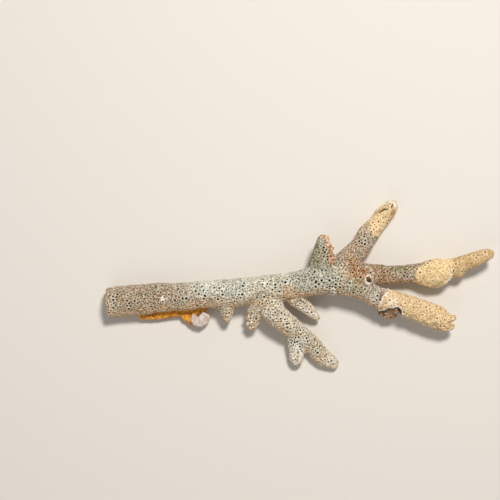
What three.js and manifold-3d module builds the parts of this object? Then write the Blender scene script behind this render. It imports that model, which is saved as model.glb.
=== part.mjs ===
// A fragment of dead branching coral, lying on its side. Millimetres, +Z up.
// One stem with a broken-off root end carries a crown of branches at its far end and a forked
// branch on its lower side. The coral is split at its main forks, so that each branch is a piece
// of its own, and an orange crust with a pale shell flake in it grows along the stem.

import * as THREE from "three";
import { mergeVertices } from "three/addons/utils/BufferGeometryUtils.js";
import { ImprovedNoise } from "three/addons/math/ImprovedNoise.js";
import Module from "manifold-3d";

// Driving dimensions.
const FORK_GAP = 0.3; // left between two pieces at a fork
const SIDES = 12; // facets round a branch
const RING_STEP = 4; // between the rings along a branch
const CAP_RINGS = 3; // rings in the rounded end of a branch
const LUMP_SIZE = 13; // width of the lumps along a branch
const LUMP_SHARE = 0.07; // height of the lumps, as a share of the branch's radius
const CUT_SIDES = 32; // facets round a block that cuts the coral
const PORE_SIDES = 10; // facets round the cup's pore
const SHELF_BEVEL = 0.5; // rounding of the crust's and the flake's edges
const HUGE = 400; // larger than the coral

// The branches as centre lines, each point [x, y, z, radius]. X runs along the stem from the
// broken root end, Y across it, and Z is the height above the surface that the coral lies on.
const BRANCHES = {
  axis: [
    [0, 0, 9.6, 9.7],
    [12, 1, 9.2, 9.6],
    [34, 3, 10.2, 9.2],
    [51, 4, 11, 8.6],
    [62, 5, 12, 8.5],
    [83, 6.5, 13.5, 9],
    [101, 8.5, 15, 8.4],
    [118, 11, 16.3, 8.3],
    [133, 14, 17.3, 9],
    [144, 14.5, 17.5, 9.2],
    [154.5, 10.5, 17.3, 6.6],
    [164.5, 7, 17, 6.8],
    [174.5, 2.5, 16.3, 7],
    [188.5, -1.5, 15, 6.7],
    [199.5, -5.5, 14, 6.9],
    [209, -9.5, 13, 7.6],
    [216, -12.5, 12.6, 5.8],
    [220.5, -12, 12.4, 3.6],
  ],
  upper: [
    [146, 18, 17, 9],
    [150, 24, 15.5, 8],
    [157, 31, 12.5, 6.8],
    [161.5, 36, 10.2, 6.4],
    [165.5, 43, 7.6, 6.6],
    [171, 49, 5.3, 5.5],
    [175, 54.5, 5.6, 5.8],
    [179, 59, 6.6, 5.1],
    [183.5, 64.2, 8, 3.6],
  ],
  broken: [
    [136, 16, 17, 9.5],
    [136, 24, 18, 8.8],
    [136.4, 31, 19.4, 6.8],
    [136.6, 37, 20.4, 4.9],
    [136.2, 43, 21.2, 2.8],
  ],
  rear: [
    [150, 17, 14, 8],
    [162, 18, 11.8, 7.2],
    [176.5, 17.4, 10.2, 5.8],
    [186.5, 18.1, 9.6, 5.4],
    [196.5, 18.4, 9.8, 5.9],
    [206.5, 18.5, 10.4, 8.8],
    [214, 20, 11, 7.2],
    [219, 22, 11.8, 5.4],
    [226, 25, 13, 5],
    [234.5, 28, 14.4, 4.7],
    [241, 30.5, 15.6, 3.7],
    [244.5, 31.8, 16.2, 2.6],
  ],
  rearKnob: [
    [216.5, 22.5, 12, 4.4],
    [221.5, 20.6, 11.4, 4.2],
    [226, 18.8, 10.4, 3.4],
  ],
  lower: [
    [98, 5, 15, 8.6],
    [103, -2, 15.2, 8],
    [107, -7.5, 14.6, 7.2],
    [112.5, -12, 13.2, 6.8],
    [117, -16, 11.6, 6.8],
    [120.5, -20, 10.2, 6.4],
  ],
  lowerLeft: [
    [119.5, -18, 10.6, 5.8],
    [119.5, -26.5, 8.6, 4.9],
    [120.5, -34, 7.2, 4.6],
    [120.7, -40.5, 6.4, 3.6],
  ],
  lowerRight: [
    [118, -17, 11, 6.2],
    [124.5, -22.5, 9, 6.2],
    [129.5, -26.5, 7, 5.5],
    [135, -33, 5.2, 5.6],
    [141, -37.5, 4.4, 4.7],
    [147, -41, 4.2, 3],
  ],
  inner: [
    [117, 7, 13.5, 7.4],
    [120.5, 1, 12, 6],
    [125.5, -3.5, 10.2, 4.8],
    [130.5, -7.5, 8.6, 3.4],
    [135.4, -11.3, 7.2, 1.4],
  ],
  stubLeft: [
    [74.5, 2, 12.5, 6],
    [76, -5, 11.8, 4.2],
    [76.5, -9.5, 11.2, 3.2],
    [77, -13, 10.8, 1.3],
  ],
  stubRight: [
    [96, 1, 13.5, 6.6],
    [93.5, -7, 12.4, 4.8],
    [92.5, -13.5, 11.2, 3.8],
    [92.2, -17.3, 10.6, 3],
  ],
  dome: [
    [142, 11, 18, 4],
    [142.3, 8.2, 22.6, 3.3],
  ],
  cup: [
    [165.5, 9, 19, 3],
    [166.2, 14.2, 21.2, 2.8],
  ],
  underLedge: [
    [171.5, 0.5, 12.4, 5],
    [178, -5.2, 10.6, 5],
    [184.5, -6.6, 10, 4.4],
  ],
  undersideStem: [
    [66, 8, 12.5, 5.2],
    [69, 10.5, 6.6, 4],
    [71, 11.8, 3, 2.8],
  ],
  undersideCrown: [
    [128, 12, 16, 6],
    [126, 11, 9, 4.8],
    [124.5, 10.5, 4.6, 3.6],
  ],
  undersideRight: [
    [186, -1, 14.5, 5],
    [189, -2.5, 8.4, 3.8],
    [191, -3.4, 4.6, 2.4],
  ],
};

// Where the coral comes apart, outermost fork first. A cone-shaped block opens from `at` along
// `towards`, and what it holds of the coral is that piece. `reach` is the block's length, and
// `mouth` and `spread` are its radius at the fork and at its far end.
const FORKS = {
  lower_left_finger: {
    at: [120, -25, 9.3],
    towards: [0.05, -1, -0.2],
    reach: 30,
    mouth: 5.9,
    spread: 11,
  },
  lower_right_finger: {
    at: [125.2, -23, 9],
    towards: [0.78, -0.62, -0.2],
    reach: 40,
    mouth: 8.4,
    spread: 18,
  },
  lower_branch: {
    at: [106, -5.5, 14.8],
    towards: [0.62, -0.78, -0.2],
    reach: 50,
    mouth: 9.6,
    spread: 26,
  },
  inner_finger: {
    at: [121.5, -0.5, 11.6],
    towards: [0.72, -0.64, -0.26],
    reach: 30,
    mouth: 8,
    spread: 10,
  },
  broken_branch: {
    at: [134.8, 25, 18],
    towards: [0.02, 1, 0.12],
    reach: 30,
    mouth: 11,
    spread: 13,
  },
  upper_branch: {
    at: [152.5, 27.5, 14],
    towards: [0.62, 0.76, -0.2],
    reach: 60,
    mouth: 10.5,
    spread: 22,
  },
  rear_branch: {
    at: [168, 18, 11.2],
    towards: [1, 0.06, 0],
    reach: 90,
    mouth: 9.6,
    spread: 26,
  },
  right_branch: {
    at: [156, 9.5, 17.2],
    towards: [0.94, -0.34, -0.03],
    reach: 90,
    mouth: 9.6,
    spread: 30,
  },
  crown: {
    at: [86.5, 7, 13.7],
    towards: [1, 0.09, 0.05],
    reach: 120,
    mouth: 40,
    spread: 60,
  },
};

// The axial pore of the cup-shaped branchlet, from its rim inwards.
const CUP_PORE = { mouth: [165.8, 14.6, 24], floor: [165.6, 12.6, 19.4], radius: 1.3 };

// Where the broken branch has split off: each face is cut flat through `at`, square to `facing`.
const BREAKS = [
  { at: [141.4, 34, 21], facing: [0.9, 0.2, 0.38] },
  { at: [137, 42.2, 21], facing: [0.42, 0.86, 0.28] },
];

// The orange crust is a thin shelf that grew along the stem's lower flank and widens at its far
// end, where a pale shell flake is stuck on top of it. Outlines are [x, y], seen from above.
const CRUST = {
  outline: [
    [20, -3],
    [20.4, -9.4],
    [22, -11.2],
    [34, -10.6],
    [46, -8.6],
    [50, -12],
    [53, -14.8],
    [55, -12.4],
    [56.6, -7.6],
    [62.4, -6.4],
    [63.4, -3.4],
    [56, -1],
  ],
  underside: 3.8,
  thickness: 2.6,
};
const FLAKE = {
  outline: [
    [53, -11.6],
    [54.4, -6.8],
    [57.3, -9.6],
    [61, -5.8],
    [65.2, -8.6],
    [65, -11.2],
    [63.2, -13.8],
    [59.9, -16],
    [55, -14.4],
  ],
  underside: CRUST.underside + CRUST.thickness + FORK_GAP,
  thickness: 1.8,
};

const wasm = await Module();
wasm.setup();

const noise = new ImprovedNoise();

// A height of the lumpy growth at a point: broad lumps with half-size ones on them.
function lumps(point) {
  const at = (size) => noise.noise(point.x / size, point.y / size, point.z / size);
  return at(LUMP_SIZE) + 0.5 * at(LUMP_SIZE / 2);
}

// A closed three.js geometry as a solid that can be joined and cut.
function solid(geometry) {
  const bare = geometry.clone();
  bare.deleteAttribute("normal");
  bare.deleteAttribute("uv");
  const merged = mergeVertices(bare, 1e-4);
  return new wasm.Manifold(
    new wasm.Mesh({
      numProp: 3,
      vertProperties: merged.attributes.position.array,
      triVerts: new Uint32Array(merged.index.array),
    }),
  );
}

function geometryOf(part) {
  const { vertProperties, triVerts } = part.getMesh();
  return new THREE.BufferGeometry()
    .setAttribute("position", new THREE.BufferAttribute(vertProperties, 3))
    .setIndex(new THREE.BufferAttribute(triVerts, 1));
}

// Half the outline of a straight rod of unit radius, from its root to its tip. The tip is round
// over the length `tipCap`, and so is the root over `rootCap`, which is flat where that is 0.
function rodProfile(length, rootCap, tipCap) {
  const turns = Array.from({ length: CAP_RINGS }, (_, i) => ((i + 1) / CAP_RINGS) * (Math.PI / 2));
  const bodyRings = Math.max(1, Math.round((length - rootCap - tipCap) / RING_STEP));
  const bodyHeights = Array.from({ length: bodyRings }, (_, i) => (i + 1) / bodyRings);
  const root = rootCap ? turns.map((a) => [Math.sin(a), rootCap * (1 - Math.cos(a))]) : [[1, 0]];
  const body = bodyHeights.map((share) => [1, THREE.MathUtils.lerp(rootCap, length - tipCap, share)]);
  const tip = turns.slice(0, -1).map((a) => [Math.cos(a), length - tipCap * (1 - Math.sin(a))]);
  return [[0, 0], ...root, ...body, ...tip, [0, length]].map(([x, y]) => new THREE.Vector2(x, y));
}

// A branch: a lathed rod, bent along its centre line and swollen to its radii and its lumps.
function branch(points, flatRoot = false) {
  const line = new THREE.CatmullRomCurve3(points.map(([x, y, z]) => new THREE.Vector3(x, y, z)));
  const radii = new THREE.CatmullRomCurve3(points.map(([, , , r]) => new THREE.Vector3(r, 0, 0)));
  const length = line.getLength();
  const rootCap = flatRoot ? 0 : points[0][3];
  const tipCap = points[points.length - 1][3];
  const rod = new THREE.LatheGeometry(rodProfile(length, rootCap, tipCap), SIDES);
  const up = new THREE.Vector3(0, 0, 1);
  const place = rod.attributes.position;
  for (let i = 0; i < place.count; i++) {
    const t = line.getUtoTmapping(THREE.MathUtils.clamp(place.getY(i) / length, 0, 1));
    const centre = line.getPoint(t);
    const tangent = line.getTangent(t);
    const side = new THREE.Vector3().crossVectors(up, tangent).normalize();
    const top = new THREE.Vector3().crossVectors(tangent, side);
    const out = side.multiplyScalar(place.getZ(i)).addScaledVector(top, place.getX(i));
    const radius = radii.getPoint(t).x;
    const swell = 1 + LUMP_SHARE * lumps(centre.clone().addScaledVector(out, radius));
    centre.addScaledVector(out, radius * swell);
    place.setXYZ(i, centre.x, centre.y, centre.z);
  }
  return solid(rod);
}

// A cylinder or cone from one point to another, as a solid.
function block(from, to, radiusFrom, radiusTo, sides = CUT_SIDES) {
  const start = new THREE.Vector3(...from);
  const end = new THREE.Vector3(...to);
  const along = end.clone().sub(start);
  const made = new THREE.CylinderGeometry(radiusTo, radiusFrom, along.length(), sides);
  const up = new THREE.Vector3(0, 1, 0);
  made.applyQuaternion(new THREE.Quaternion().setFromUnitVectors(up, along.clone().normalize()));
  made.translate(...start.add(end).multiplyScalar(0.5));
  return solid(made);
}

// The block that a fork's piece lies in. `grow` widens it on every side.
function forkBlock({ at, towards, reach, mouth, spread }, grow = 0) {
  const from = new THREE.Vector3(...at);
  const direction = new THREE.Vector3(...towards).normalize();
  const far = from.clone().addScaledVector(direction, reach);
  from.addScaledVector(direction, -grow);
  return block([...from], [...far], mouth + grow, spread + grow);
}

function largest(part) {
  return part.decompose().reduce((best, each) => (each.volume() > best.volume() ? each : best));
}

// A branch that has broken off: each break slices its far end away.
function brokenBranch(points) {
  let made = branch(points);
  for (const { at, facing } of BREAKS) {
    const out = new THREE.Vector3(...facing).normalize();
    const from = new THREE.Vector3(...at);
    made = made.subtract(block([...from], [...from.clone().addScaledVector(out, HUGE)], HUGE, HUGE));
  }
  return made;
}

// A thin plate with the outline of `outline`, lying level, with softened edges.
function plate({ outline, underside, thickness }) {
  const shape = new THREE.Shape(outline.map(([x, y]) => new THREE.Vector2(x, y)));
  const depth = thickness - 2 * SHELF_BEVEL;
  const made = new THREE.ExtrudeGeometry(shape, {
    depth,
    bevelThickness: SHELF_BEVEL,
    bevelSize: SHELF_BEVEL,
    bevelOffset: -SHELF_BEVEL,
    bevelSegments: 1,
  });
  return solid(made.translate(0, 0, underside + SHELF_BEVEL));
}

// The whole coral in one solid, worn flat where it lies on the surface.
function wholeCoral() {
  const { axis, broken, ...others } = BRANCHES;
  let whole = branch(axis, true).add(brokenBranch(broken));
  for (const points of Object.values(others)) whole = whole.add(branch(points));
  const { mouth, floor, radius } = CUP_PORE;
  whole = whole.subtract(block(mouth, floor, radius, radius, PORE_SIDES));
  const surface = solid(new THREE.BoxGeometry(HUGE, HUGE, HUGE).translate(0, 0, -HUGE / 2));
  return whole.subtract(surface);
}

const whole = wholeCoral();
const pieces = {};
let rest = whole;
for (const [name, fork] of Object.entries(FORKS)) {
  pieces[name] = largest(rest.intersect(forkBlock(fork)));
  rest = largest(rest.subtract(forkBlock(fork, FORK_GAP)));
}
pieces.stem = rest;

// The crust and the flake fit the stem's flank with a gap of FORK_GAP: the stem's own shape, and
// the same moved that far outwards, are cut from them.
const outward = new THREE.Vector3(0, -1, -0.6).normalize().multiplyScalar(FORK_GAP);
const grownOver = pieces.stem.add(pieces.stem.translate([...outward]));
pieces.orange_crust = largest(plate(CRUST).subtract(grownOver));
pieces.shell_flake = largest(plate(FLAKE).subtract(grownOver));

const COLOURS = {
  stem: "#c6c1a8",
  crown: "#c3c4b0",
  lower_branch: "#cfc8ab",
  lower_left_finger: "#d6d2b8",
  lower_right_finger: "#cfc19b",
  inner_finger: "#c9bc9a",
  broken_branch: "#b9bca6",
  upper_branch: "#cdb98a",
  rear_branch: "#d8bd80",
  right_branch: "#d3bb8b",
  orange_crust: "#c98a2b",
  shell_flake: "#e2d3c8",
};

const coral = new THREE.Group();
for (const [name, part] of Object.entries(pieces)) {
  const material = new THREE.MeshStandardMaterial({ color: COLOURS[name], roughness: 0.9, metalness: 0 });
  const mesh = new THREE.Mesh(geometryOf(part), material);
  mesh.name = name;
  coral.add(mesh);
}

// The origin is under the middle of the coral, on the surface that it lies on.
const box = new THREE.Box3().setFromObject(coral);
const middle = box.getCenter(new THREE.Vector3());
coral.position.set(-middle.x, -middle.y, -box.min.z);

export default coral;
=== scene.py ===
import bmesh
import bpy
import numpy as np
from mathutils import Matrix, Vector, kdtree, noise
from mathutils.bvhtree import BVHTree


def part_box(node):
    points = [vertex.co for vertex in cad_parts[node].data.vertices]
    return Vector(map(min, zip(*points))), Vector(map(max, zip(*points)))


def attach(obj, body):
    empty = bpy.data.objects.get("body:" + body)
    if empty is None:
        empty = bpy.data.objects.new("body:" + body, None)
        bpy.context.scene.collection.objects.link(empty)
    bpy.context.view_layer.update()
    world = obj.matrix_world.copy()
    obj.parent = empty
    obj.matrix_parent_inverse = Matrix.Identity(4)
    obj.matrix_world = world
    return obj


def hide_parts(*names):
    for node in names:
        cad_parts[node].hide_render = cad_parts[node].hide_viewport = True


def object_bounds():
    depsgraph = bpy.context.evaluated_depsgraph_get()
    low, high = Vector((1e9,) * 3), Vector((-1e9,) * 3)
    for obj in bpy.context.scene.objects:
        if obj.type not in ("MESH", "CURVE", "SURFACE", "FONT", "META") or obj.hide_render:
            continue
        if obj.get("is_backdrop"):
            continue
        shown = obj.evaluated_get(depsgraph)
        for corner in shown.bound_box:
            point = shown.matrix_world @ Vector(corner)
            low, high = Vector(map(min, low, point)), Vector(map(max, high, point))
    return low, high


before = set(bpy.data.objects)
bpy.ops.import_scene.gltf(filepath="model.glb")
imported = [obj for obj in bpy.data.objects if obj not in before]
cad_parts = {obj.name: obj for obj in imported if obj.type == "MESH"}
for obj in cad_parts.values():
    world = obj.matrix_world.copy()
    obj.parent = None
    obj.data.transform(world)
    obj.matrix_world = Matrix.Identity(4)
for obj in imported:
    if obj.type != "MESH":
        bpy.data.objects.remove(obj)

cad_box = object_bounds()
scene = bpy.context.scene


# ---- Camera ------------------------------------------------------------------------------------
# It looks straight down on the coral, which lies on its side with the root end at the left, from
# far enough that the branches show little perspective.
AIM = (-0.127, 0.205, 0.6)  # from the origin, in the coral's lengths, widths and thicknesses
VIEW_HEIGHT = 0.875  # from the aim up to the lens
LENS = 100  # mm, on the sensor below
SENSOR = 36  # mm

low, high = cad_box
coral_length, coral_width, coral_thickness = high - low
camera = bpy.data.objects.new("camera", bpy.data.cameras.new("camera"))
camera.data.lens = LENS
camera.data.sensor_width = SENSOR
camera.location = (
    AIM[0] * coral_length,
    AIM[1] * coral_width,
    AIM[2] * coral_thickness + VIEW_HEIGHT,
)
scene.collection.objects.link(camera)
scene.camera = camera


# ---- Table and studio light --------------------------------------------------------------------
# A plain pale board, lit by one soft warm lamp beyond the upper branches, a weak one from the near
# side and a pale room.
TABLE_REACH = 3.0
TABLE_COLOUR = (0.80, 0.78, 0.75, 1)
ROOM_COLOUR = (1.0, 0.98, 0.95, 1)
ROOM_STRENGTH = 0.24
LAMPS = {
    "key_lamp": {
        "at": (0.20, 0.52, 1.10), "size": 0.24, "watts": 12.5, "colour": (1.0, 0.94, 0.86),
    },
    "fill_lamp": {
        "at": (-0.5, -0.9, 0.9), "size": 1.2, "watts": 2.4, "colour": (1.0, 0.97, 0.93),
    },
}


def add_node(tree, kind, inputs=None, **settings):
    """A shader node with its settings; each input is a value or another node's output."""
    made = tree.nodes.new(kind)
    for key, value in settings.items():
        setattr(made, key, value)
    for key, value in (inputs or {}).items():
        if isinstance(value, bpy.types.NodeSocket):
            tree.links.new(value, made.inputs[key])
        else:
            made.inputs[key].default_value = value
    return made


def new_material(name):
    """An empty node material, its tree and its Principled shader, wired to the output."""
    material = bpy.data.materials.new(name)
    material.use_nodes = True
    tree = material.node_tree
    tree.nodes.clear()
    shader = add_node(tree, "ShaderNodeBsdfPrincipled")
    add_node(tree, "ShaderNodeOutputMaterial", {"Surface": shader.outputs["BSDF"]})
    return material, tree, shader


def add_object(name, form):
    """A scene object at the origin, made from a bmesh, which is freed."""
    mesh = bpy.data.meshes.new(name)
    form.to_mesh(mesh)
    form.free()
    made = bpy.data.objects.new(name, mesh)
    scene.collection.objects.link(made)
    return made


board, _, board_shader = new_material("pale_board")
board_shader.inputs["Base Color"].default_value = TABLE_COLOUR
board_shader.inputs["Roughness"].default_value = 0.85
form = bmesh.new()
bmesh.ops.create_grid(form, x_segments=1, y_segments=1, size=TABLE_REACH)
table = add_object("table", form)
table.data.materials.append(board)
table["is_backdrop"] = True

for name, lamp in LAMPS.items():
    light = bpy.data.lights.new(name, "AREA")
    light.shape = "DISK"
    light.size = lamp["size"]
    light.energy = lamp["watts"]
    light.color = lamp["colour"]
    holder = bpy.data.objects.new(name, light)
    holder.location = lamp["at"]
    holder.rotation_euler = (-Vector(lamp["at"])).to_track_quat("-Z", "Y").to_euler()
    scene.collection.objects.link(holder)

world = bpy.data.worlds.new("room")
world.use_nodes = True
world.node_tree.nodes["Background"].inputs["Color"].default_value = ROOM_COLOUR
world.node_tree.nodes["Background"].inputs["Strength"].default_value = ROOM_STRENGTH
scene.world = world
scene.view_settings.view_transform = "Standard"


# ---- The grown skeleton ------------------------------------------------------------------------
# Stem, crown and branches are one limestone growth. Their CAD solids are copied, run together over
# the gaps at the forks, and smoothed so that each branch flows into the next.
SHELVES = ("orange_crust", "shell_flake")
GROWN = [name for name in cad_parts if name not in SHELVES]
OVERLAP = 0.0002  # each solid swells by this, which closes the gaps between them
FIRST_MESH = 0.00114  # width of a face before it is divided twice
FLOW = 5  # rounds of smoothing
SWELLS = ((0.00035, 0.006, 3.1), (0.00026, 0.0022, 7.7))  # each lump's height, width and seed
WOBBLES = ((0.0009, 0.0035, 12.3), (0.0005, 0.0012, 4.4))  # the same, for the edges of marks


def spot(node, across, along, up=0.5):
    """A place in a CAD node's box: 0 is its lowest and 1 its highest X, Y and Z."""
    start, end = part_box(node)
    return Vector(a + share * (b - a) for a, b, share in zip(start, end, (across, along, up)))


def spots(node, *shares):
    """Several places in a CAD node's box, seen from above."""
    return [spot(node, across, along) for across, along in shares]


def merged_copy(nodes, swell=0.0):
    """A bmesh of copies of CAD nodes, each merged from its loose triangles."""
    form = bmesh.new()
    for node in nodes:
        form.from_mesh(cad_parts[node].data)
    bmesh.ops.remove_doubles(form, verts=form.verts, dist=1e-7)
    form.normal_update()
    for vertex in form.verts:
        vertex.co += swell * vertex.normal
    return form


def remesh(item, width, rounds, levels):
    """Gives an object an even skin of square faces, smoothed and then divided."""
    skin = item.modifiers.new("skin", "REMESH")
    skin.mode = "VOXEL"
    skin.voxel_size = width
    skin.use_smooth_shade = True
    flow = item.modifiers.new("flow", "SMOOTH")
    flow.iterations = rounds
    fine = item.modifiers.new("fine", "SUBSURF")
    fine.levels = levels
    fine.render_levels = levels
    shaped = item.evaluated_get(bpy.context.evaluated_depsgraph_get())
    mesh = bpy.data.meshes.new_from_object(shaped)
    item.modifiers.clear()
    item.data = mesh


def read(mesh, what="vertices", field="co", width=3):
    """A field of a mesh's elements as a numpy array with one row each."""
    elements = getattr(mesh, what)
    values = np.empty(len(elements) * width, np.float32)
    elements.foreach_get(field, values)
    return values.reshape(-1, width).astype(float)


def lumps(points, size, seed=0.0):
    """Smooth noise from about -1 to 1 at each point, with lumps `size` metres wide."""
    shift = Vector((seed, 1.7 * seed, -0.6 * seed))
    return np.array([noise.noise(Vector(p) + shift) for p in points / size])


def step(values, start, end):
    """0 below `start` and 1 above `end`, with a soft change between; start may be the higher."""
    share = np.clip((values - start) / (end - start), 0, 1)
    return share * share * (3 - 2 * share)


def spot_distance(points, middle):
    """How far each point is from a spot, seen from above."""
    return np.linalg.norm(points[:, :2] - np.array(middle)[:2], axis=1)


def line_distance(points, line):
    """How far each point is from a chain of spots, seen from above."""
    nearest = np.full(len(points), np.inf)
    for start, end in zip(line, line[1:]):
        first, run = np.array(start)[:2], np.array(end - start)[:2]
        from_first = points[:, :2] - first
        share = np.clip(from_first @ run / (run @ run), 0, 1)
        nearest = np.minimum(nearest, np.linalg.norm(from_first - share[:, None] * run, axis=1))
    return nearest


def depth_inside(points, outline):
    """How deep each point lies inside a closed outline, seen from above; negative outside it."""
    closed = outline + outline[:1]
    inside = np.zeros(len(points), bool)
    for start, end in zip(closed, closed[1:]):
        level = (points[:, 1] > start.y) != (points[:, 1] > end.y)
        slope = (end.x - start.x) / (end.y - start.y or 1)
        inside ^= level & (points[:, 0] < start.x + (points[:, 1] - start.y) * slope)
    return np.where(inside, 1, -1) * line_distance(points, closed)


def uneven(kinds):
    """The sum of several kinds of lumps on the coral, each with its height, width and seed."""
    return sum(height * lumps(place, width, seed) for height, width, seed in kinds)


coral = add_object("coral", merged_copy(GROWN, OVERLAP))
remesh(coral, FIRST_MESH, FLOW, 2)
place = read(coral.data)
outward = read(coral.data, "vertex_normals", "vector")
facing_up = step(outward[:, 2], -0.1, 0.3)

# The nearest CAD solid to each point says which branch the point belongs to.
solids = merged_copy(())
branch_of_face = []
for index, node in enumerate(GROWN):
    solids.from_mesh(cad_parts[node].data)
    branch_of_face += [index] * (len(solids.faces) - len(branch_of_face))
solids.faces.ensure_lookup_table()
nearest_solid = BVHTree.FromBMesh(solids)
solids.free()
branch = np.array([branch_of_face[nearest_solid.find_nearest(Vector(p))[2]] for p in place])
on_branch = {node: branch == index for index, node in enumerate(GROWN)}

rise = uneven(SWELLS)  # how far each point moves outwards
wobble = uneven(WOBBLES)


# ---- Overgrowth on the right branch ------------------------------------------------------------
# A younger cream-yellow layer has grown over the right branch. It ends at a lobed ledge about a
# millimetre high, with a lip above a hollow on the branch's lower side; the hollow is painted umber
# as the shade under the lip.
LEDGE = spots(
    "right_branch",
    (0.365, 1.1), (0.345, 0.73), (0.327, 0.662), (0.282, 0.554), (0.259, 0.446), (0.272, 0.362),
    (0.327, 0.387), (0.387, 0.413), (0.437, 0.43), (0.471, 0.37), (0.485, 0.267), (0.51, -0.5),
    (1.3, -0.5), (1.3, 1.1),
)
LIP = LEDGE[5:11]
LEDGE_RISE = 0.0009
LEDGE_WIDTH = 0.003
LAYER_RISE = 0.0002  # away from the ledge
LAYER_LUMPS = 0.0003
LOW_SIDE_LUMPS = 0.0009  # added on the lower side, where the layer is rougher
LAYER_LUMP_WIDTH = 0.0026
HOLLOW_DEPTH = 0.0016

ledge_depth = depth_inside(place, LEDGE) + 0.6 * wobble
over_right = on_branch["right_branch"] * step(ledge_depth, -0.0002, 0.0003)
ledge = np.exp(-np.abs(ledge_depth) / LEDGE_WIDTH)
rise += over_right * (LAYER_RISE + (LEDGE_RISE - LAYER_RISE) * ledge)
low_side = step(-outward[:, 1], 0.2, 0.9)
lump_height = LAYER_LUMPS + LOW_SIDE_LUMPS * low_side
rise += over_right * lump_height * lumps(place, LAYER_LUMP_WIDTH, 41.0)

lip_distance = line_distance(place, LIP)
past_lip = (place[:, 0] > LIP[0].x - 0.001) & (place[:, 1] < LIP[0].y + 0.003)
below_lip = on_branch["right_branch"] * (1 - over_right) * past_lip
hollow = below_lip * step(lip_distance + 0.4 * wobble, 0.0026, 0.0012)
rise -= HOLLOW_DEPTH * hollow

# The branch's far end is ragged, with a notch and a tooth, and the skin below the lip is rough.
FAR_END = spot("right_branch", 0.97, 0.16)
NOTCH = spots("right_branch", (1.03, 0.155), (0.945, 0.15))
TOOTH = spot("right_branch", 0.985, 0.235)
FAR_END_LUMPS = ((0.0012, 0.0028, 51.0), (0.0006, 0.0012, 52.0))
FAR_END_WEAR = 0.0003
NOTCH_DEPTH = 0.0026
TOOTH_RISE = 0.0014
BELOW_LIP_LUMPS = ((0.0007, 0.0022, 53.0), (0.0004, 0.001, 54.0))

ragged = on_branch["right_branch"] * step(spot_distance(place, FAR_END), 0.011, 0.004)
rise += ragged * (uneven(FAR_END_LUMPS) - FAR_END_WEAR)
rise -= ragged * NOTCH_DEPTH * step(line_distance(place, NOTCH), 0.0016, 0.0004)
rise += ragged * TOOTH_RISE * step(spot_distance(place, TOOTH), 0.0024, 0.0006)
rise += below_lip * uneven(BELOW_LIP_LUMPS)


# ---- Overgrowth on the rear branch -------------------------------------------------------------
# The same layer sits on the rear branch as one swollen cushion, with a pale rim and a crease along
# its lower right side. It thins out along the finger beyond, past a small knob.
CUSHION = spots(
    "rear_branch",
    (0.350, 0.36), (0.370, 0.50), (0.42, 0.58), (0.49, 0.68), (0.55, 0.85), (0.66, 0.85),
    (0.67, 0.60), (0.655, 0.40), (0.642, 0.20), (0.600, 0.02), (0.545, -0.10), (0.47, -0.12),
    (0.42, -0.04), (0.385, 0.07), (0.362, 0.20),
)
CUSHION_RIM = spots("rear_branch", (0.650, 0.40), (0.638, 0.22), (0.592, 0.05), (0.53, -0.02))
CUSHION_RISE = 0.0006
CUSHION_RIM_RISE = 0.0005
CUSHION_LUMPS = ((0.0004, 0.0030, 43.0),)
CREASE_DEPTH = 0.0009
KNOB = spot("rear_branch", 0.745, 0.27)
KNOB_RISE = 0.0013

cushion_depth = depth_inside(place, CUSHION) + 1.3 * wobble
over_cushion = on_branch["rear_branch"] * step(cushion_depth, -0.0003, 0.0006)
beyond_cushion = on_branch["rear_branch"] * (place[:, 0] > CUSHION[7].x) * (1 - over_cushion)
cushion_rim = over_cushion * facing_up * step(line_distance(place, CUSHION_RIM), 0.0012, 0.0005)
crease = on_branch["rear_branch"] * (1 - over_cushion) * step(
    line_distance(place, CUSHION_RIM[:3]), 0.0018, 0.0007
)
knob = on_branch["rear_branch"] * step(spot_distance(place, KNOB), 0.0055, 0.001)
rise += CUSHION_RISE * over_cushion + CUSHION_RIM_RISE * cushion_rim - CREASE_DEPTH * crease
rise += KNOB_RISE * knob
rise += over_cushion * uneven(CUSHION_LUMPS)


# ---- Worn tip of the upper branch --------------------------------------------------------------
# The tip is rubbed down to a slanting oval. It has a white rim, an open groove, a slit and a rusty
# dent, and is yellow down to a short step.
WORN = spots(
    "upper_branch",
    (0.40, 0.70), (0.465, 0.594), (0.55, 0.535), (0.62, 0.46), (0.74, 0.42), (1.4, 0.6),
    (1.2, 1.4), (0.4, 1.4),
)
TIP_RIM = spots(
    "upper_branch", (0.60, 0.84), (0.74, 0.95), (0.87, 0.985), (0.955, 0.93), (0.95, 0.84)
)
TIP_GROOVE = spots("upper_branch", (0.675, 0.825), (0.74, 0.86), (0.82, 0.865))
TIP_SLIT = spots("upper_branch", (0.875, 0.89), (0.90, 0.935))
TIP_DENT = spots("upper_branch", (0.885, 0.785), (0.935, 0.84))
TIP_RIM_RISE = 0.0003
GROOVE_DEPTH = 0.0011
SLIT_DEPTH = 0.0009
DENT_DEPTH = 0.0005
WORN_STEP = 0.0004  # how far the step at the worn part's edge stands out

worn_depth = depth_inside(place, WORN) + 1.3 * wobble
worn = on_branch["upper_branch"] * step(worn_depth, -0.0006, 0.0008)
on_tip = worn * facing_up
tip_rim = on_tip * step(line_distance(place, TIP_RIM), 0.0013, 0.0006)
tip_groove = on_tip * step(line_distance(place, TIP_GROOVE) + 0.4 * wobble, 0.0007, 0.0002)
tip_slit = on_tip * step(line_distance(place, TIP_SLIT), 0.0006, 0.0002)
tip_dent = on_tip * step(line_distance(place, TIP_DENT), 0.0014, 0.0008)
rise += TIP_RIM_RISE * tip_rim - GROOVE_DEPTH * tip_groove
rise -= SLIT_DEPTH * tip_slit + DENT_DEPTH * tip_dent
rise += WORN_STEP * worn * step(worn_depth, 0.004, 0.0008)


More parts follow.
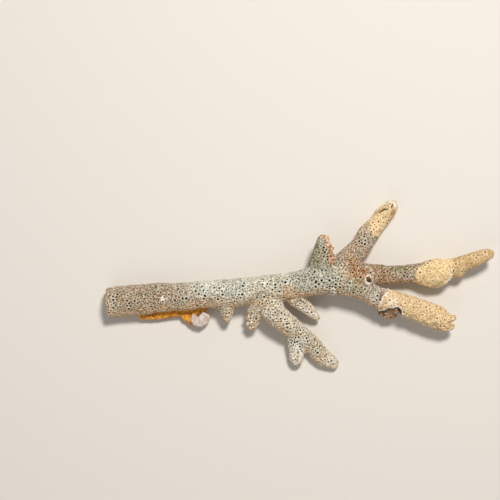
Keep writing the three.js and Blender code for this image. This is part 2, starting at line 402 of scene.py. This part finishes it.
# ---- Stubs under the stem ----------------------------------------------------------------------
# Two short branchlets, on the lower side of the stem and of the crown's left end, have knobbly,
# half-broken ends.
STUB_ENDS = (spot("stem", 0.985, 0.03), spot("crown", 0.04, 0.13))
STUB_LUMPS = ((0.0010, 0.0022, 57.0),)

for stub_end in STUB_ENDS:
    rise += step(spot_distance(place, stub_end), 0.009, 0.004) * uneven(STUB_LUMPS)


# ---- Break of the thick branch -----------------------------------------------------------------
# The thick branch on the crown's upper side has snapped off along two faces. Their jagged plates
# show the pink-tan inside of the skeleton, rusty at the crotch.
BREAK_FACES = (
    {"at": spot("broken_branch", 0.74, 0.80, 0.8), "facing": (0.9, 0.2, 0.38)},
    {"at": spot("broken_branch", 0.45, 0.98, 0.8), "facing": (0.42, 0.86, 0.28)},
)
BREAK_BAND = spots(
    "broken_branch",
    (0.29, 1.05), (0.50, 0.93), (0.66, 0.86), (0.76, 0.72), (0.83, 0.50), (0.88, 0.30),
)
BREAK_LUMPS = ((0.0011, 0.0018, 9.9), (0.0009, 0.0009, 2.2))
CROTCH = spot("broken_branch", 0.88, 0.28)

broken = facing_up * step(line_distance(place, BREAK_BAND) + 0.9 * wobble, 0.0018, 0.0012)
for face in BREAK_FACES:
    facing = np.array(Vector(face["facing"]).normalized())
    depth = (np.array(face["at"]) - place) @ facing
    broken = np.maximum(broken, step(outward @ facing, 0.70, 0.84) * step(depth, 0.005, 0.002))
broken *= on_branch["broken_branch"] * step(place[:, 0], BREAK_BAND[0].x - 0.002, BREAK_BAND[0].x)
rusty_break = broken * step(spot_distance(place, CROTCH), 0.008, 0.003)
rise += broken * uneven(BREAK_LUMPS)


# ---- Cup, dome and root end --------------------------------------------------------------------
# One branchlet on the crown is an open cup, its hole painted umber and near-black as shade. The
# dome beside the inner finger has a white foot and a groove round it painted rust-brown as shade,
# and the root end is a flat cut, cream and finely pored.
CUP = spot("crown", 0.970, 0.655)
CUP_REACH = 0.006
CUP_RIM = 0.0024  # radius of the rim's crest
CUP_RIM_WIDTH = 0.0006
CUP_RIM_RISE = 0.0007
CUP_HOLE = 0.0017  # radius
CUP_DEPTH = 0.0022
DOME = spot("crown", 0.692, 0.497)
DOME_RADIUS = 0.0027
DOME_RISE = 0.0012
DOME_EDGE_DEPTH = 0.0004
DOME_FOOT = spots("crown", (0.665, 0.452), (0.688, 0.434), (0.715, 0.458))

from_cup = spot_distance(place, CUP)
near_cup = (place[:, 2] > spot("crown", 0, 0, 0.55).z) & (from_cup < CUP_REACH)
cup_rim = near_cup * facing_up * np.exp(-(((from_cup - CUP_RIM) / CUP_RIM_WIDTH) ** 2))
cup_hole = near_cup * step(from_cup, CUP_HOLE + 0.0003, CUP_HOLE - 0.0003)

from_dome = spot_distance(place, DOME)
dome = facing_up * step(from_dome, DOME_RADIUS + 0.0003, DOME_RADIUS - 0.0014)
dome_edge = facing_up * np.exp(-(((from_dome - DOME_RADIUS - 0.0004) / 0.0004) ** 2))
rise += DOME_RISE * dome - DOME_EDGE_DEPTH * dome_edge
dome_foot = facing_up * step(line_distance(place, DOME_FOOT), 0.0009, 0.0004)
root = step(-outward[:, 0], 0.8, 0.93) * (place[:, 0] < low[0] + 0.003)


# ---- Corallites --------------------------------------------------------------------------------
# Each polyp sat in a pore about a millimetre wide with a thin raised rim. On the bare skeleton most
# of the pores are open, and their depth is painted near-black as shade; on the overgrowth they are
# filled to shallow rings, most of them with a dark dot left in the middle, painted as the shade of
# the small opening there.
SEED = 17
SPACING = 0.00188
SPREAD = (0.66, 1.32)  # each pore's share of the spacing
ROOT_SPACING = 0.7  # share of the spacing, on the cut root end
OVERGROWN_SPACING = 1.3  # share of the spacing
BARE_RADIUS = 0.00057
ROOT_RADIUS = 0.6 * BARE_RADIUS
OVERGROWN_RADIUS = 0.00058
SMALLEST = 0.62  # share of those radii
LARGER = 0.75  # how much is added to that at most
FEW_LARGE = 1.6  # the higher, the fewer pores are large
OPEN_DEPTH = 0.0009
FILLED_DEPTH = 0.00022
RING_RISE = 0.00016
GRAINS = ((0.00013, 0.0009, 5.5),)
DOTTED_SHARE = 0.6  # of the pores in the overgrowth
DOT = 0.8  # how dark the dots are
LEAST_OPEN = 0.6  # how dark the least open pore is
OPENING = 1.2  # how fast that grows to fully dark
OPEN_SHARE = 0.80  # of the pores on the bare skeleton
STAINED_OPEN_SHARE = 0.50  # on the taupe necks of the upper and rear branches
OVERGROWN_OPEN_SHARE = 0.06
LARGE_PORES = (
    spots("stem", (0.99, 0.832), (0.985, 0.639), (0.652, 0.718), (0.584, 0.547), (0.846, 0.635))
    + spots("stem", (0.528, 0.762), (0.811, 0.525), (0.717, 0.608))
    + spots("crown", (0.56, 0.612), (0.562, 0.63), (0.56, 0.56), (0.602, 0.644), (0.663, 0.644))
    + spots("crown", (0.712, 0.592), (0.548, 0.753), (0.115, 0.42), (0.253, 0.59), (0.331, 0.621))
)
LARGE_RADIUS = 0.00082
UPPER_SIDE = 0.002  # how much nearer a point counts that faces up, so that the upper side is taken

overgrown = np.maximum.reduce([over_right, over_cushion, 0.7 * worn, 0.7 * beyond_cushion])
plain = 1 - np.maximum.reduce([broken, cup_rim, cup_hole, tip_groove, tip_rim, hollow])
on_neck = on_branch["upper_branch"] | on_branch["rear_branch"]
open_share = np.where(on_neck, STAINED_OPEN_SHARE, OPEN_SHARE)
open_share = np.where(overgrown > 0.5, OVERGROWN_OPEN_SHARE, open_share)
by_place = kdtree.KDTree(len(place))
for index, point in enumerate(place):
    by_place.insert(point, index)
by_place.balance()

# `pore` is 1 deep in an open pore, `ring` on a pore's rim, and `shallow` in a filled one; `pore` is
# painted shade, also in the cup's hole and the tip's groove and slit.
pore = np.maximum.reduce([0.85 * cup_hole, 0.45 * tip_groove, 0.5 * tip_slit])
ring = np.zeros(len(place))
shallow = np.zeros(len(place))
sink = np.zeros(len(place))
taken = np.zeros(len(place), bool)


def press_pore(near, away, radius, openness, dot=0.0):
    """Marks one pore in the points `near` its middle, which are `away` from it: open to some
    degree, or filled, with or without a dark dot left in its middle."""
    share = away / radius
    pit = step(share, 1.15, 0.65)
    kind = pore if openness else shallow
    kind[near] = np.maximum(kind[near], pit * (openness or 1))
    sink[near] = np.maximum(sink[near], pit * (OPEN_DEPTH if openness else FILLED_DEPTH))
    pore[near] = np.maximum(pore[near], dot * step(share, 0.75, 0.45))
    ring[near] = np.maximum(ring[near], np.exp(-(((share - 1.5) / 0.34) ** 2)))


def around(point, reach):
    """The points within `reach` of a point, and how far away each is."""
    found = by_place.find_range(point, reach)
    return np.array([item[1] for item in found]), np.array([item[2] for item in found])


for pore_spot in LARGE_PORES:
    from_pore = spot_distance(place, pore_spot)
    index = int(np.argmin(from_pore - UPPER_SIDE * outward[:, 2]))
    near, away = around(place[index], SPACING)
    taken[near] = True
    press_pore(near, away, LARGE_RADIUS, 1.0)

draw = np.random.RandomState(SEED)
for index in draw.permutation(len(place)):
    if taken[index]:
        continue
    size = SMALLEST + LARGER * draw.uniform() ** FEW_LARGE
    chance = draw.uniform()
    spread = draw.uniform(*SPREAD)
    covered = overgrown[index] > 0.5
    if root[index] > 0.4:
        radius, spacing = ROOT_RADIUS, ROOT_SPACING
    elif covered:
        radius, spacing = OVERGROWN_RADIUS, OVERGROWN_SPACING
    else:
        radius, spacing = BARE_RADIUS, 1
    near, away = around(place[index], SPACING * spread * spacing)
    taken[near] = True
    if plain[index] < 0.6:
        continue
    spare = open_share[index] - chance
    openness = min(1.0, LEAST_OPEN + OPENING * spare) if spare > 0 else 0
    dot = DOT if covered and chance < DOTTED_SHARE else 0
    press_pore(near, away, radius * size, openness, dot)

rise += RING_RISE * ring - sink
# The cup branchlet's rim and hole go straight up and down instead of along its tilted skin.
rise *= 1 - np.clip(cup_rim + cup_hole, 0, 1)
rise += uneven(GRAINS)
moved = place + outward * rise[:, None]
moved[:, 2] += CUP_RIM_RISE * cup_rim - CUP_DEPTH * cup_hole
moved[:, 2] = np.maximum(moved[:, 2], low[2])
coral.data.vertices.foreach_set("co", moved.astype(np.float32).ravel())
coral.data.update()


# ---- Colours of the skeleton -------------------------------------------------------------------
# Sun and sea have bleached the crown to a pale grey-green; the left of the stem and the necks of
# the branches are stained taupe, the lower flanks are tan, partly a stain and partly painted shade
# on the sides turned from the key lamp, and the overgrowth is cream-yellow.
def paint(hex_colour):
    """A colour's linear RGB values from its hex code."""
    parts = [int(hex_colour[i : i + 2], 16) / 255 for i in (0, 2, 4)]
    return np.array([c / 12.92 if c < 0.04045 else ((c + 0.055) / 1.055) ** 2.4 for c in parts])


BLEACHED = paint("c9bfa6")
MINT = paint("ced5cb")
GREY_GREEN = paint("a8ae9e")
OLIVE = paint("8a8258")
TAUPE = paint("9c8365")
TAN = paint("e0b57c")
VIOLET = paint("b9a99e")
CREAM = paint("eacd9c")
YELLOW = paint("f3d7a0")
SAND = paint("d6b57c")
BREAK_PINK = paint("e2bd99")
RUST = paint("a0692c")
OCHRE = paint("a87838")
UMBER = paint("5d4329")
WHITE = paint("fbf4e6")

# Each stain is a soft patch with its middle, its half widths in metres, its colour and strength.
STAINS = (
    (spot("stem", 0.30, 0.70, 0.8), (0.036, 0.020, 0.03), TAUPE, 0.80),
    (spot("stem", 0.84, 0.84, 0.9), (0.024, 0.008, 0.02), MINT, 0.95),
    (spot("crown", 0.25, 0.70, 0.9), (0.020, 0.008, 0.02), MINT, 0.55),
    (spot("crown", 0.60, 0.68, 0.9), (0.018, 0.013, 0.02), GREY_GREEN, 0.90),
    (spot("broken_branch", 0.35, 0.55, 0.7), (0.010, 0.014, 0.02), GREY_GREEN, 0.80),
    (spot("broken_branch", 0.25, 0.35, 0.7), (0.007, 0.009, 0.02), OLIVE, 0.90),
    (spot("crown", 0.45, 0.42, 0.6), (0.010, 0.004, 0.02), TAUPE, 0.50),
    (spot("crown", 0.88, 0.55, 0.7), (0.014, 0.010, 0.02), OLIVE, 0.35),
    (spot("upper_branch", 0.2, 0.3, 0.5), (0.020, 0.020, 0.03), TAUPE, 0.75),
    (spot("rear_branch", 0.18, 0.6, 0.5), (0.026, 0.02, 0.03), TAUPE, 0.90),
    (spot("rear_branch", 0.17, 0.52, 0.9), (0.012, 0.005, 0.02), OLIVE, 0.95),
    (spot("rear_branch", 0.05, 0.30, 0.6), (0.011, 0.007, 0.02), RUST, 0.55),
    (spot("right_branch", 0.06, 0.62, 0.7), (0.010, 0.012, 0.02), OLIVE, 0.65),
    (spot("right_branch", 0.20, 0.55, 0.7), (0.008, 0.009, 0.02), VIOLET, 0.85),
    (spot("crown", 0.90, 0.82, 0.6), (0.011, 0.009, 0.02), OCHRE, 0.95),
    (spot("crown", 0.98, 0.72, 0.6), (0.006, 0.006, 0.02), RUST, 0.55),
)
# The pale tips are laid over the tan of the lower flanks, part stain and part painted shade, in the
# same way.
TIPS = (
    (spot("lower_left_finger", 0.4, 0.75, 0.8), (0.008, 0.008, 0.02), MINT, 0.70),
    (spot("lower_left_finger", 0.4, 0.15, 0.8), (0.008, 0.010, 0.02), WHITE, 0.75),
    (spot("lower_right_finger", 0.85, 0.12, 0.8), (0.010, 0.010, 0.02), WHITE, 0.40),
    (spot("lower_branch", 0.30, 0.75, 0.9), (0.012, 0.008, 0.02), WHITE, 0.35),
    (spot("inner_finger", 0.65, 0.3, 0.6), (0.011, 0.011, 0.02), WHITE, 0.55),
    (STUB_ENDS[0], (0.007, 0.008, 0.02), WHITE, 0.50),
    (STUB_ENDS[1], (0.007, 0.010, 0.02), CREAM, 0.40),
)
# Small patches on the upper side, with a middle, a radius, a colour and a strength.
PATCHES = (
    # Painted highlight: white where the key lamp catches the overgrowth's upper-left lobes inside
    # the ledge.
    (spot("right_branch", 0.385, 0.52), 0.0033, WHITE, 0.50),
    (spot("upper_branch", 0.47, 0.64), 0.0024, OLIVE, 0.40),
    (spot("crown", 0.17, 0.61), 0.0013, WHITE, 0.90),
    (spot("stem", 0.745, 0.82), 0.0030, WHITE, 0.45),
    (spot("crown", 0.29, 0.04), 0.0008, WHITE, 0.90),
    (spot("stem", 0.416, 0.542), 0.0019, WHITE, 0.95),
    (spot("stem", 0.614, 0.569), 0.0021, VIOLET, 0.70),
)

PATCHINESS = ((0.35, 0.006, 21.0), (0.25, 0.002, 33.0))

patchy = uneven(PATCHINESS)
tint = np.tile(BLEACHED, (len(place), 1))


def stained(colours, mask, stain):
    """The colours with a stain laid over them where the mask is 1."""
    return colours + (stain - colours) * np.clip(mask, 0, 1)[:, None]


def patched(colours, patches):
    """The colours with each of the soft patches laid over them."""
    for middle, reach, stain, strength in patches:
        away = np.linalg.norm((place - np.array(middle)) / np.array(reach), axis=1)
        colours = stained(colours, strength * step(away + patchy, 1.3, 0.5), stain)
    return colours


tint = stained(tint, 0.35 * step(lumps(place, 0.011, 88.0), 0.0, 0.4), TAN)
tint = patched(tint, STAINS)
tint = stained(tint, 0.45 * step(lumps(place, 0.007, 91.0), 0.15, 0.45), GREY_GREEN)
# The lower flanks, turned down and away from the key lamp, are tan: partly a stain, partly painted
# shade.
lower_flank = step(-outward[:, 1] - 0.5 * outward[:, 2] + patchy, -0.2, 0.8)
tint = stained(tint, 0.8 * lower_flank, TAN)
tint = patched(tint, TIPS)
ledge_edge = over_right * step(ledge_depth, 0.0014, 0.0004)
inside_rim = on_tip * step(np.abs(line_distance(place, TIP_RIM) - 0.0018), 0.0006, 0.0)
for mask, stain in (
    (0.97 * over_right, CREAM),
    (0.97 * over_cushion, YELLOW),
    (0.85 * worn, YELLOW),
    (0.92 * beyond_cushion, SAND),
    (0.7 * below_lip, RUST),
    # Painted shade: the hollow under the lip is umber.
    (0.95 * hollow, UMBER),
    (0.9 * ledge_edge, WHITE),
    (0.8 * (cushion_rim + tip_rim), WHITE),
    (0.85 * (tip_groove + tip_slit), UMBER),
    (0.7 * tip_dent, RUST),
    (0.6 * inside_rim, RUST),
    (broken, BREAK_PINK),
    (0.6 * rusty_break, RUST),
    (0.85 * cup_rim, WHITE),
    # Painted shade: the cup's hole is umber.
    (cup_hole, UMBER),
    (0.6 * dome, MINT),
    # Painted shade: the groove round the dome is rust-brown.
    (0.7 * dome_edge, RUST),
    (dome_foot, WHITE),
    (root, CREAM),
):
    tint = stained(tint, mask, stain)
for middle, reach, stain, strength in PATCHES:
    away = spot_distance(place, middle) + wobble
    tint = stained(tint, facing_up * strength * step(away, 1.1 * reach, 0.7 * reach), stain)

bare = 1 - 0.5 * np.clip(1.4 * overgrown, 0, 1)  # half the grain's colour on the overgrowth
for name, values in {"pore": pore, "ring": ring, "shallow": shallow, "bare": bare}.items():
    layer = coral.data.attributes.new(name, "FLOAT", "POINT")
    layer.data.foreach_set("value", values.astype(np.float32))
layer = coral.data.attributes.new("tint", "FLOAT_COLOR", "POINT")
painted = np.column_stack([tint, np.ones(len(tint))])
layer.data.foreach_set("color", painted.astype(np.float32).ravel())


def ranged(tree, value, start, end, strength):
    """A mask that runs from 0 at `start` to `strength` at `end`."""
    settings = {"Value": value, "From Min": start, "From Max": end, "To Max": strength}
    return add_node(tree, "ShaderNodeMapRange", settings).outputs["Result"]


def times(tree, first, second):
    """The product of two masks."""
    return add_node(tree, "ShaderNodeMath", {0: first, 1: second}, operation="MULTIPLY").outputs[0]


def laid_over(tree, colour, mask, stain, how="MIX"):
    """A colour with a stain mixed or multiplied over it where the mask is 1."""
    inputs = {"Factor": mask, "A": colour, "B": stain}
    made = add_node(tree, "ShaderNodeMix", data_type="RGBA", blend_type=how)
    for key, value in inputs.items():
        socket = next(each for each in made.inputs if each.name == key and each.enabled)
        if isinstance(value, bpy.types.NodeSocket):
            tree.links.new(value, socket)
        else:
            socket.default_value = value
    return next(each for each in made.outputs if each.enabled)


def new_stone_grain():
    """A node group: masks of a stone's mottling, specks and pitted network, and its relief."""
    group = bpy.data.node_groups.new("stone_grain", "ShaderNodeTree")
    group.interface.new_socket("Place", in_out="INPUT", socket_type="NodeSocketVector")
    for name in ("Mottle Scale", "Speck Scale", "Network Scale"):
        group.interface.new_socket(name, in_out="INPUT", socket_type="NodeSocketFloat")
    for name in ("Mottle", "Speck", "Pits", "Relief"):
        group.interface.new_socket(name, in_out="OUTPUT", socket_type="NodeSocketFloat")
    given = add_node(group, "NodeGroupInput").outputs
    settings = {"Vector": given["Place"], "Detail": 4.0, "Roughness": 0.65}
    mottle = add_node(group, "ShaderNodeTexNoise", {**settings, "Scale": given["Mottle Scale"]})
    speck = add_node(group, "ShaderNodeTexNoise", {**settings, "Scale": given["Speck Scale"]})
    net = add_node(
        group,
        "ShaderNodeTexVoronoi",
        {"Vector": given["Place"], "Scale": given["Network Scale"]},
        feature="DISTANCE_TO_EDGE",
    )
    pits = ranged(group, net.outputs["Distance"], 0.06, 0.26, 1.0)
    relief = add_node(
        group, "ShaderNodeMath", {0: speck.outputs["Fac"], 1: pits}, operation="SUBTRACT"
    ).outputs[0]
    given_out = add_node(group, "NodeGroupOutput").inputs
    results = {"Mottle": mottle.outputs["Fac"], "Speck": speck.outputs["Fac"], "Pits": pits}
    for name, output in {**results, "Relief": relief}.items():
        group.links.new(output, given_out[name])
    return group


stone_grain = new_stone_grain()


def add_grain(tree, mottle, speck, network):
    """The stone grain in a material, with its scales in lumps per metre."""
    where = add_node(tree, "ShaderNodeTexCoord").outputs["Object"]
    scales = {"Mottle Scale": mottle, "Speck Scale": speck, "Network Scale": network}
    inputs = {"Place": where, **scales}
    return add_node(tree, "ShaderNodeGroup", inputs, node_tree=stone_grain).outputs


def roughen(tree, shader, relief, strength, distance):
    """Wires a relief to a shader's normal."""
    inputs = {"Height": relief, "Strength": strength, "Distance": distance}
    bump = add_node(tree, "ShaderNodeBump", inputs)
    tree.links.new(bump.outputs["Normal"], shader.inputs["Normal"])


PIT_STAIN = (0.50, 0.34, 0.20, 1)
SPECK_STAIN = (0.30, 0.18, 0.09, 1)
SHALLOW_STAIN = (0.62, 0.47, 0.31, 1)
PALE_GRAIN = (1.0, 0.98, 0.93, 1)
BRIGHTER = (1.4, 1.4, 1.4, 1)
PORE_SHADE = (0.010, 0.008, 0.006, 1)

skeleton, skeleton_tree, shader = new_material("pored_skeleton")
grain = add_grain(skeleton_tree, mottle=420.0, speck=760.0, network=700.0)
marks = {}
for name in ("pore", "ring", "shallow", "bare"):
    marks[name] = add_node(skeleton_tree, "ShaderNodeAttribute", attribute_name=name).outputs["Fac"]
colour = add_node(skeleton_tree, "ShaderNodeAttribute", attribute_name="tint").outputs["Color"]
bright = laid_over(skeleton_tree, colour, 1.0, BRIGHTER, "MULTIPLY")
pale = laid_over(skeleton_tree, bright, 0.38, PALE_GRAIN)
pitted = ranged(skeleton_tree, grain["Mottle"], 0.60, 0.42, 0.85)
pits = times(skeleton_tree, grain["Pits"], pitted)
blotches = ranged(skeleton_tree, grain["Mottle"], 0.48, 0.36, 0.55)
dark_specks = ranged(skeleton_tree, grain["Speck"], 0.48, 0.38, 0.95)
pale_specks = ranged(skeleton_tree, grain["Speck"], 0.51, 0.59, 0.95)
for mask, share, stain, how in (
    (pits, marks["bare"], PIT_STAIN, "MULTIPLY"),
    (blotches, marks["bare"], SPECK_STAIN, "MULTIPLY"),
    (dark_specks, marks["bare"], SPECK_STAIN, "MULTIPLY"),
    (pale_specks, marks["bare"], pale, "MIX"),
    (marks["ring"], 0.85, pale, "MIX"),
    (marks["shallow"], 0.85, SHALLOW_STAIN, "MULTIPLY"),
):
    colour = laid_over(skeleton_tree, colour, times(skeleton_tree, mask, share), stain, how)
# Painted shade: near-black where `pore` marks the depths of the pores, the cup's hole and the tip's
# groove and slit.
colour = laid_over(skeleton_tree, colour, marks["pore"], PORE_SHADE)
skeleton_tree.links.new(colour, shader.inputs["Base Color"])
shader.inputs["Roughness"].default_value = 0.9
shader.inputs["Specular IOR Level"].default_value = 0.25
roughen(skeleton_tree, shader, grain["Relief"], strength=0.6, distance=0.0003)


corner_of_face = read(coral.data, "polygons", "loop_start", 1).astype(int).ravel()
first_vertex = read(coral.data, "loops", "vertex_index", 1).astype(int).ravel()[corner_of_face]
owner = coral.data.attributes.new("owner", "INT", "FACE")
owner.data.foreach_set("value", branch[first_vertex].astype(np.int32))
coral.data.materials.clear()
for node in GROWN:
    coral.data.materials.append(skeleton)
coral.data.polygons.foreach_set("material_index", branch[first_vertex].astype(np.int32))
bpy.ops.object.select_all(action="DESELECT")
coral.select_set(True)
bpy.context.view_layer.objects.active = coral
bpy.ops.mesh.separate(type="MATERIAL")

for piece in list(bpy.context.selected_objects):
    node = GROWN[piece.data.attributes["owner"].data[0].value]
    form = bmesh.new()
    form.from_mesh(piece.data)
    cut_edges = [edge for edge in form.edges if edge.is_boundary]
    for edge in cut_edges:
        edge.smooth = False
    bmesh.ops.holes_fill(form, edges=cut_edges, sides=0)
    bmesh.ops.triangulate(form, faces=[face for face in form.faces if len(face.verts) > 4])
    for face in form.faces:
        face.material_index = 0
    form.to_mesh(piece.data)
    form.free()
    piece.data.materials.clear()
    piece.data.materials.append(skeleton)
    piece.name = piece.data.name = node + "_growth"
    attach(piece, "root")
    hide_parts(node)


# ---- Orange crust ------------------------------------------------------------------------------
# A thin shelf of an encrusting growth clings to the stem's lower flank and widens to a ragged
# triangle. It is a bright orange, with brown pits and yellow grains.
CRUST_MESH = 0.0006
CRUST_ORANGE = (0.98, 0.41, 0.035, 1)
CRUST_BROWN = (0.28, 0.09, 0.012, 1)
CRUST_YELLOW = (0.95, 0.62, 0.16, 1)


def weather(item, coarse, fine, seed):
    """Moves an object's surface in and out by coarse lumps and fine grains, in metres."""
    points = read(item.data)
    normals = read(item.data, "vertex_normals", "vector")
    swell = coarse * lumps(points, 0.0035, seed) + fine * lumps(points, 0.0011, seed + 1)
    points += normals * swell[:, None]
    item.data.vertices.foreach_set("co", points.astype(np.float32).ravel())
    item.data.update()


crust = add_object("orange_crust_growth", merged_copy(["orange_crust"], OVERLAP))
remesh(crust, CRUST_MESH, rounds=2, levels=1)
weather(crust, coarse=0.0007, fine=0.0005, seed=61.0)
crust_material, crust_tree, crust_shader = new_material("orange_crust")
grain = add_grain(crust_tree, mottle=300.0, speck=900.0, network=900.0)
blotches = ranged(crust_tree, grain["Mottle"], 0.52, 0.36, 0.8)
dark_specks = ranged(crust_tree, grain["Speck"], 0.46, 0.36, 0.7)
yellow_grains = ranged(crust_tree, grain["Speck"], 0.54, 0.66, 0.8)
colour = laid_over(crust_tree, CRUST_ORANGE, blotches, CRUST_BROWN)
colour = laid_over(crust_tree, colour, dark_specks, CRUST_BROWN)
colour = laid_over(crust_tree, colour, yellow_grains, CRUST_YELLOW)
crust_tree.links.new(colour, crust_shader.inputs["Base Color"])
crust_shader.inputs["Roughness"].default_value = 0.75
roughen(crust_tree, crust_shader, grain["Relief"], strength=0.6, distance=0.0003)
crust.data.materials.clear()
crust.data.materials.append(crust_material)
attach(crust, "root")
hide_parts("orange_crust")


# ---- Shell flake -------------------------------------------------------------------------------
# A broken piece of shell, heart-shaped and worn smooth, sits on the crust. It is pinkish white
# with a few tan stains.
FLAKE_MESH = 0.00045
FLAKE_PINK = (0.55, 0.45, 0.41, 1)
FLAKE_WHITE = (0.76, 0.70, 0.67, 1)
FLAKE_TAN = (0.52, 0.34, 0.20, 1)

flake = add_object("shell_flake_piece", merged_copy(["shell_flake"], OVERLAP))
remesh(flake, FLAKE_MESH, rounds=2, levels=1)
weather(flake, coarse=0.0003, fine=0.00015, seed=71.0)
flake_material, flake_tree, flake_shader = new_material("worn_shell")
grain = add_grain(flake_tree, mottle=350.0, speck=1100.0, network=500.0)
bleached = ranged(flake_tree, grain["Mottle"], 0.46, 0.60, 0.9)
tan_specks = ranged(flake_tree, grain["Speck"], 0.38, 0.30, 0.8)
colour = laid_over(flake_tree, FLAKE_PINK, bleached, FLAKE_WHITE)
colour = laid_over(flake_tree, colour, tan_specks, FLAKE_TAN)
flake_tree.links.new(colour, flake_shader.inputs["Base Color"])
flake_shader.inputs["Roughness"].default_value = 0.6
roughen(flake_tree, flake_shader, grain["Relief"], strength=0.25, distance=0.0002)
flake.data.materials.clear()
flake.data.materials.append(flake_material)
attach(flake, "root")
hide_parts("shell_flake")


# ---- Sizes -------------------------------------------------------------------------------------
# The lowest and highest corners of the CAD and of the finished pieces, in metres.
size = {
    "cad": [list(corner) for corner in cad_box],
    "visual": [list(corner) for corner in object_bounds()],
}
